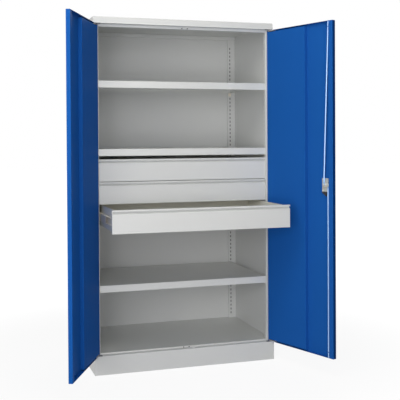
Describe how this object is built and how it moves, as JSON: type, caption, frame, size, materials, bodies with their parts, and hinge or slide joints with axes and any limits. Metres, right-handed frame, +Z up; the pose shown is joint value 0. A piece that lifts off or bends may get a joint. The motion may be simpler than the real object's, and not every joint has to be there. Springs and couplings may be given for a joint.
{
  "type": "storage cabinet",
  "caption": "Heavy-duty steel storage cabinet with two hinged doors, adjustable shelves, pull-out drawers on telescopic slides and a turn handle that drives locking rods.",
  "frame": {"origin": "middle of the casing's footprint, on the floor", "axes": "+X to the right as seen from the front, +Y to the back, +Z up; the doors open towards -Y"},
  "size_m": [1.4371, 1.1229, 1.95],
  "materials": {
    "blue_powder_coat": "deep blue powder coat, semi-gloss",
    "grey_powder_coat": "light grey powder coat, semi-gloss",
    "shelf_steel": "zinc-grey coated sheet, matt",
    "zinc_steel": "bright zinc plating",
    "lock_casting": "zinc die casting, fine satin",
    "black_plastic": "black moulded plastic",
    "bush_plastic": "natural moulded bearing plastic",
    "buffer_rubber": "soft black rubber"
  },
  "bodies": {
    "casing": {"plinth": "grey_powder_coat", "roof_cap": "grey_powder_coat", "back_panel": "grey_powder_coat", "bottom_panel": "shelf_steel", "head_rail": "grey_powder_coat", "rear_rail": "grey_powder_coat", "side_panel_right": "grey_powder_coat", "side_panel_left": "grey_powder_coat", "front_post_right": "grey_powder_coat", "front_post_left": "grey_powder_coat", "rear_upright_right": "grey_powder_coat", "rear_upright_left": "grey_powder_coat", "slide_brackets_right": "shelf_steel", "slide_brackets_left": "shelf_steel", "hinge_pins": "zinc_steel", "door_buffers": "buffer_rubber", "shelf_upper": "shelf_steel", "shelf_stiffener_upper": "shelf_steel", "shelf_clips_upper": "zinc_steel", "shelf_middle": "shelf_steel", "shelf_stiffener_middle": "shelf_steel", "shelf_clips_middle": "zinc_steel", "shelf_lower": "shelf_steel", "shelf_stiffener_lower": "shelf_steel", "shelf_clips_lower": "zinc_steel", "slide_outer_1": "zinc_steel", "slide_outer_2": "zinc_steel", "slide_outer_3": "zinc_steel"},
    "left_door": {"left_door_stiffening_panel": "blue_powder_coat", "left_door_hinge_plates": "zinc_steel", "left_door_hinge_bushes": "bush_plastic", "left_door_skin": "blue_powder_coat"},
    "right_door": {"right_door_stiffening_panel": "blue_powder_coat", "right_door_hinge_plates": "zinc_steel", "right_door_hinge_bushes": "bush_plastic", "right_door_skin": "blue_powder_coat", "lock_body": "lock_casting", "lock_screws": "zinc_steel", "rod_guides": "blue_powder_coat", "handle_rose": "black_plastic"},
    "lock_handle": {"turn_handle": "black_plastic", "spindle": "zinc_steel", "lock_cam": "zinc_steel", "cam_screw": "zinc_steel"},
    "key": {"key_cylinder": "lock_casting"},
    "upper_lock_rod": {"upper_rod": "zinc_steel"},
    "lower_lock_rod": {"lower_rod": "zinc_steel"},
    "drawer_1": {"drawer_front_1": "grey_powder_coat", "drawer_tray_1": "shelf_steel", "slide_inner_1": "zinc_steel"},
    "slide_middle_pair_1": {"slide_middle_1": "zinc_steel"},
    "drawer_2": {"drawer_front_2": "grey_powder_coat", "drawer_tray_2": "shelf_steel", "slide_inner_2": "zinc_steel"},
    "slide_middle_pair_2": {"slide_middle_2": "zinc_steel"},
    "drawer_3": {"drawer_front_3": "grey_powder_coat", "drawer_tray_3": "shelf_steel", "slide_inner_3": "zinc_steel"},
    "slide_middle_pair_3": {"slide_middle_3": "zinc_steel"}
  },
  "joints": [
    {"name": "left_door_hinge", "type": "hinge", "parent": "casing", "child": "left_door", "pos_m": [-0.51, -0.314, 0.1065], "axis": [0, 0, -1], "range_deg": [-25, 5]},
    {"name": "right_door_hinge", "type": "hinge", "parent": "casing", "child": "right_door", "pos_m": [0.51, -0.314, 0.1065], "axis": [0, 0, 1], "range_deg": [-19, 11]},
    {"name": "handle_turn", "type": "hinge", "parent": "right_door", "child": "lock_handle", "pos_m": [0.65814, -0.74209, 1.032], "axis": [0.9455, 0.3256, 0], "range_deg": [0, 90]},
    {"name": "key_turn", "type": "hinge", "parent": "lock_handle", "child": "key", "pos_m": [0.65814, -0.74209, 1.032], "axis": [0.9455, 0.3256, 0], "range_deg": [0, 90]},
    {"name": "upper_rod_pin", "type": "hinge", "parent": "lock_handle", "child": "upper_lock_rod", "pos_m": [0.64809, -0.72916, 1.032], "axis": [0.9455, 0.3256, 0], "range_deg": [-91.19, 0.2]},
    {"name": "lower_rod_pin", "type": "hinge", "parent": "lock_handle", "child": "lower_lock_rod", "pos_m": [0.65818, -0.75847, 1.032], "axis": [0.9455, 0.3256, 0], "range_deg": [-91.18, 0.2]},
    {"name": "drawer_1_slide", "type": "slide", "parent": "casing", "child": "drawer_1", "axis": [0, -1, 0], "range_m": [0, 0.5]},
    {"name": "slide_middle_1_travel", "type": "slide", "parent": "casing", "child": "slide_middle_pair_1", "axis": [0, -1, 0], "range_m": [0, 0.25]},
    {"name": "drawer_2_slide", "type": "slide", "parent": "casing", "child": "drawer_2", "axis": [0, -1, 0], "range_m": [0, 0.5]},
    {"name": "slide_middle_2_travel", "type": "slide", "parent": "casing", "child": "slide_middle_pair_2", "axis": [0, -1, 0], "range_m": [0, 0.25]},
    {"name": "drawer_3_slide", "type": "slide", "parent": "casing", "child": "drawer_3", "axis": [0, -1, 0], "range_m": [-0.35, 0.15]},
    {"name": "slide_middle_3_travel", "type": "slide", "parent": "casing", "child": "slide_middle_pair_3", "axis": [0, -1, 0], "range_m": [-0.175, 0.075]}
  ],
  "couplings": [
    {"joint": "upper_rod_pin", "follows": "handle_turn", "ratio": -1.011},
    {"joint": "lower_rod_pin", "follows": "handle_turn", "ratio": -1.0108},
    {"joint": "slide_middle_1_travel", "follows": "drawer_1_slide", "ratio": 0.5},
    {"joint": "slide_middle_2_travel", "follows": "drawer_2_slide", "ratio": 0.5},
    {"joint": "slide_middle_3_travel", "follows": "drawer_3_slide", "ratio": 0.5}
  ]
}
